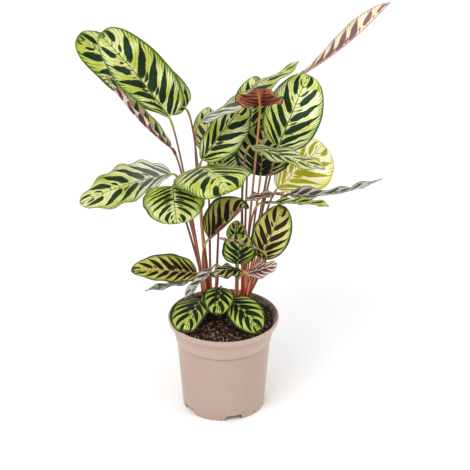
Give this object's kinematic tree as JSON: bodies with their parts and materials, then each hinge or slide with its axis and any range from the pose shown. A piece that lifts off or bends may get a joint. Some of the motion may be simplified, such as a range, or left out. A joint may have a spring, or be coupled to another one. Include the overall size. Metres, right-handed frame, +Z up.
{
  "type": "potted calathea",
  "caption": "Potted calathea: patterned oval blades on slim upright stalks, rising in a clump from peat in a tapered plastic grower's pot.",
  "frame": {"origin": "on the surface that the pot stands on, below the middle of the whole plant's box; the pot's own axis stands at x -0.009 m, y -0.044 m", "axes": "+Z up; +X to the right and +Y to the back, seen from the side to which most blades turn their upper face"},
  "size_m": [0.3777, 0.2395, 0.5262],
  "materials": {
    "pot": "satin taupe moulded plastic",
    "peat": null,
    "stalk": null,
    "leaf": null,
    "leaf_yellow": null,
    "leaf_underside": null,
    "leaf_maroon": null
  },
  "bodies": {
    "root": {"pot": "pot", "soil": "peat", "stalks_left": "stalk", "stalks_right": "stalk", "leaf_high_left_front": "leaf", "leaf_high_left_back": "leaf", "leaf_high_left_folded": "leaf_underside", "leaf_left_wavy": "leaf", "leaf_centre_broad": "leaf", "leaf_left_drooping": "leaf", "leaf_centre_upright": "leaf", "leaf_centre_pale": "leaf", "leaf_top_reaching": "leaf", "leaf_top_rear": "leaf", "leaf_top_maroon": "leaf_maroon", "leaf_high_right": "leaf", "leaf_top_right_folded": "leaf_underside", "leaf_centre_shaded": "leaf", "leaf_right_edge_on": "leaf", "leaf_right_yellow": "leaf_yellow", "leaf_far_right_twisted": "leaf", "leaf_centre_folded": "leaf", "leaf_low_right": "leaf", "leaf_low_centre_small": "leaf", "leaf_low_centre": "leaf", "leaf_low_left": "leaf", "leaf_low_left_narrow": "leaf", "leaf_low_dark": "leaf", "leaf_low_right_pink": "leaf_underside", "leaf_soil_left": "leaf", "leaf_soil_middle": "leaf", "leaf_soil_right": "leaf", "leaf_right_narrow": "leaf", "leaf_centre_pink": "leaf_underside", "leaf_low_centre_narrow": "leaf_underside", "leaf_low_left_silver": "leaf", "leaf_rear_left": "leaf", "leaf_rear_right": "leaf", "leaf_rear_centre": "leaf", "leaf_rear_low_right": "leaf", "leaf_rear_low_left": "leaf"}
  },
  "joints": []
}
